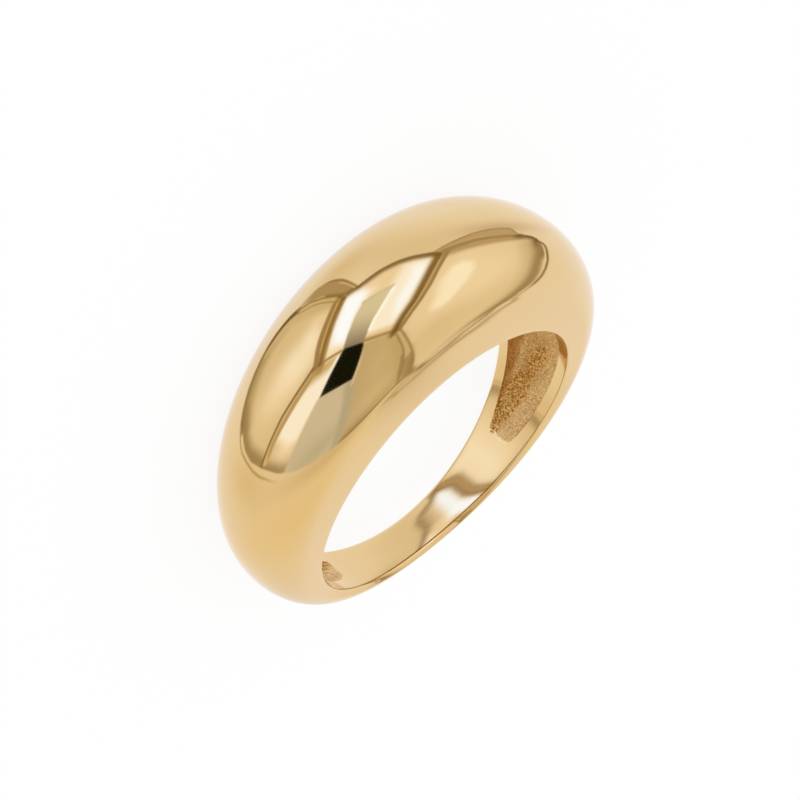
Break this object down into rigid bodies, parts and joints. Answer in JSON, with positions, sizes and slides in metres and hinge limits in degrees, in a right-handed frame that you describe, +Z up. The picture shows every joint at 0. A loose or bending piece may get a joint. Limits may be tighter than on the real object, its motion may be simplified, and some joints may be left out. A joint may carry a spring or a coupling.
{
  "type": "dome ring",
  "caption": "Finger ring in polished gold-coloured metal: a high rounded dome that tapers into a slim shank, hollow underneath with polished lips.",
  "frame": {"origin": "middle of the ring's box at the height of the surface that it lies on", "axes": "+Z up; the ring lies on its side with the dome towards -Y and the shank towards +Y; the finger axis leans 6.3 degrees from +Z towards +Y; +X runs across the finger"},
  "size_m": [0.0236, 0.0236, 0.008],
  "materials": {
    "gold_coloured_steel": "mirror polished, gold-coloured coating"
  },
  "bodies": {
    "root": {"dome_ring": "gold_coloured_steel"}
  },
  "joints": []
}
